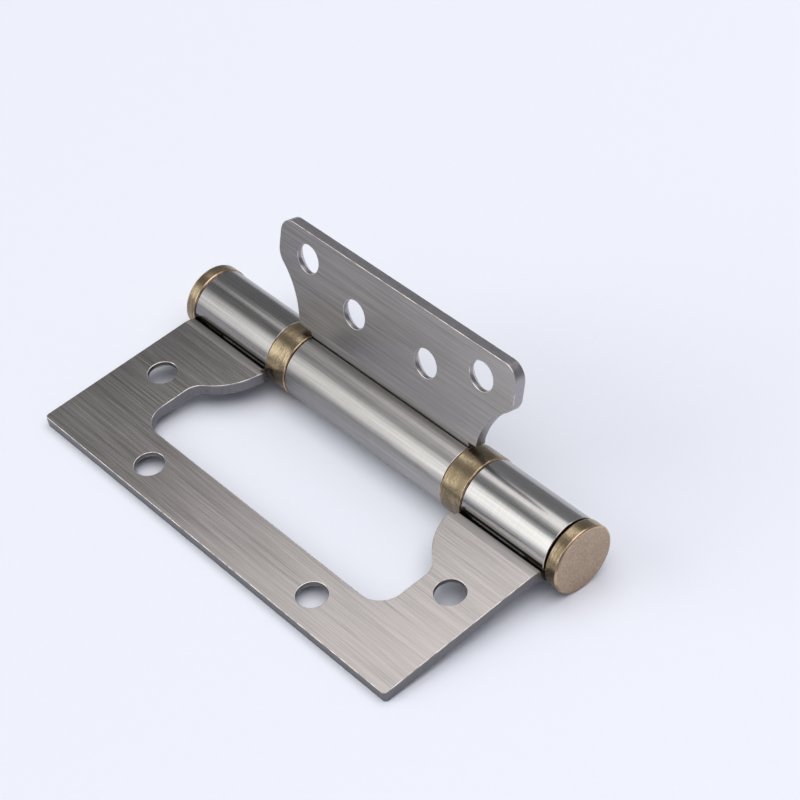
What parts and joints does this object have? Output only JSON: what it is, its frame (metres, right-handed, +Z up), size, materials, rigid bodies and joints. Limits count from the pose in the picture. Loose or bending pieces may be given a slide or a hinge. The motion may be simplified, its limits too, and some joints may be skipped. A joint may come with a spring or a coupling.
{
  "type": "flush hinge",
  "caption": "Flush hinge: a small leaf swings into the window of a larger one, on a pin with ball bearings and end caps.",
  "frame": {"origin": "on the floor, under the middle of the hinge's box", "axes": "+Y along the pin, towards the left end cap; +Z up; the outer leaf lies towards -X"},
  "size_m": [0.0518, 0.1062, 0.0365],
  "materials": {
    "leaf_steel": "brushed along the pin, with bright worn edges",
    "bronze_ring": "antique brass, mottled, copper-bright at the rims",
    "bronze_cap": "antique brass, matt on the face",
    "pin_steel": "ground steel",
    "bearing_steel": "polished bearing steel"
  },
  "bodies": {
    "outer": {"outer_leaf": "leaf_steel", "hinge_pin": "pin_steel", "left_end_cap": "bronze_cap", "right_end_cap": "bronze_cap", "left_bearing_shell": "bronze_ring", "right_bearing_shell": "bronze_ring", "left_outer_race": "bearing_steel", "right_outer_race": "bearing_steel"},
    "inner": {"inner_leaf": "leaf_steel", "left_inner_race": "bearing_steel", "right_inner_race": "bearing_steel"},
    "left_balls": {"left_ball_set": "bearing_steel"},
    "right_balls": {"right_ball_set": "bearing_steel"}
  },
  "joints": [
    {"name": "leaf_swing", "type": "hinge", "parent": "outer", "child": "inner", "pos_m": [0.01883, 0, 0.0071], "axis": [0, 1, 0], "range_deg": [-106, 74]},
    {"name": "left_balls_roll", "type": "hinge", "parent": "outer", "child": "left_balls", "pos_m": [0.01883, 0, 0.0071], "axis": [0, 1, 0], "range_deg": [-53, 37]},
    {"name": "right_balls_roll", "type": "hinge", "parent": "outer", "child": "right_balls", "pos_m": [0.01883, 0, 0.0071], "axis": [0, 1, 0], "range_deg": [-53, 37]}
  ],
  "couplings": [
    {"joint": "left_balls_roll", "follows": "leaf_swing", "ratio": 0.5},
    {"joint": "right_balls_roll", "follows": "leaf_swing", "ratio": 0.5}
  ]
}
